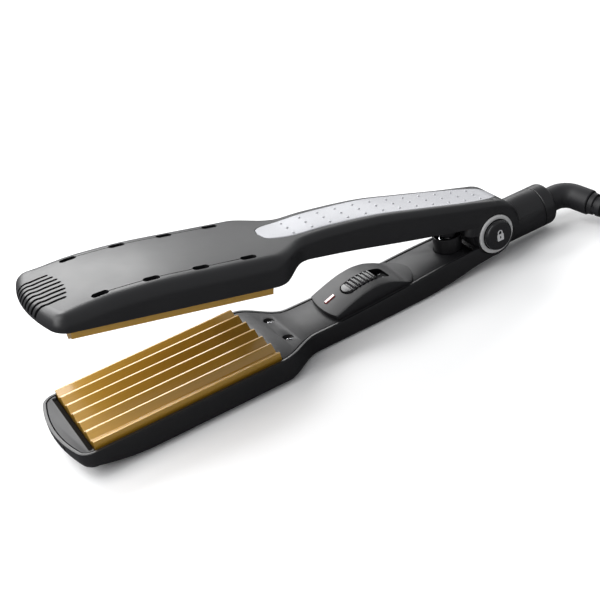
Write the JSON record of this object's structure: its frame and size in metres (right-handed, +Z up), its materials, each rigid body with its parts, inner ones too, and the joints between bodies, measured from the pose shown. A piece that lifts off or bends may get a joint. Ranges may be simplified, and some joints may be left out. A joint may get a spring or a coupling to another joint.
{
  "type": "hair crimper",
  "caption": "Hand-held hair crimper with interlocking corrugated plates, sprung scissor handles, hinge lock, slide switch and swivel mains cord.",
  "frame": {"origin": "middle of the footprint of the tool without its free cord, on the surface it stands on", "axes": "+X runs from the nose along the arms to the cord end, +Y across the plates towards the unlock button, +Z up"},
  "size_m": [0.397, 0.1063, 0.0785],
  "materials": {
    "housing": "satin charcoal moulding",
    "cover": "fine-grained charcoal moulding",
    "gold_plate": "gold coated, semi-gloss",
    "inlay": "silver lacquered",
    "ring": "matt silver",
    "button": "smooth black",
    "rubber": "matt black",
    "steel": "bright",
    "lens": "clear red",
    "board": "green laminate",
    "heater": "unglazed",
    "pin_metal": "bright"
  },
  "bodies": {
    "lower_arm": {"lower_shell": "housing", "lower_nose_cover": "cover", "lower_handle_cover": "cover", "lower_plate": "gold_plate", "lower_heater": "heater", "lower_plate_tray": "cover", "lower_thermostat": "steel", "lower_screw_1": "steel", "lower_screw_2": "steel", "switch_pod": "cover", "switch_body": "heater", "indicator_lens": "lens", "control_board": "board", "spring_cup": "cover", "return_spring": "steel", "hinge_hub": "cover", "pivot_tube": "steel", "swivel_barrel": "housing", "power_cord": "rubber", "cord_coil": "rubber", "cord_end": "rubber", "cord_tie": "rubber", "plug_body": "rubber", "plug_pin_1": "pin_metal", "plug_pin_2": "pin_metal"},
    "upper_arm": {"upper_shell": "housing", "upper_nose_cover": "cover", "upper_handle_cover": "cover", "upper_plate": "gold_plate", "upper_heater": "heater", "upper_plate_tray": "cover", "upper_thermostat": "steel", "upper_screw_1": "steel", "upper_screw_2": "steel", "grip_inlay": "inlay", "near_ring": "ring", "far_ring": "ring"},
    "hinge_lock": {"lock_button": "button", "lock_shaft": "steel", "unlock_button": "button"},
    "power_slider": {"slide_switch": "button"},
    "cord_outlet": {"swivel_collar": "housing", "swivel_elbow": "rubber", "strain_relief": "rubber"}
  },
  "joints": [
    {"name": "arm_close", "type": "hinge", "parent": "lower_arm", "child": "upper_arm", "pos_m": [0.07794, 0.00726, 0.0177], "axis": [0, -1, 0], "range_deg": [0, 12.9], "stiffness_Nm_per_rad": 1.9, "springref_deg": -12.03, "deforming": ["return_spring"]},
    {"name": "lock_push", "type": "slide", "parent": "lower_arm", "child": "hinge_lock", "axis": [0, 1, 0], "range_m": [0, 0.003]},
    {"name": "switch_slide", "type": "slide", "parent": "lower_arm", "child": "power_slider", "axis": [1, 0, 0], "range_m": [0, 0.005]},
    {"name": "cord_swivel", "type": "hinge", "parent": "lower_arm", "child": "cord_outlet", "pos_m": [0.11524, 0.00726, 0.0128], "axis": [1, 0, 0], "continuous": true}
  ]
}
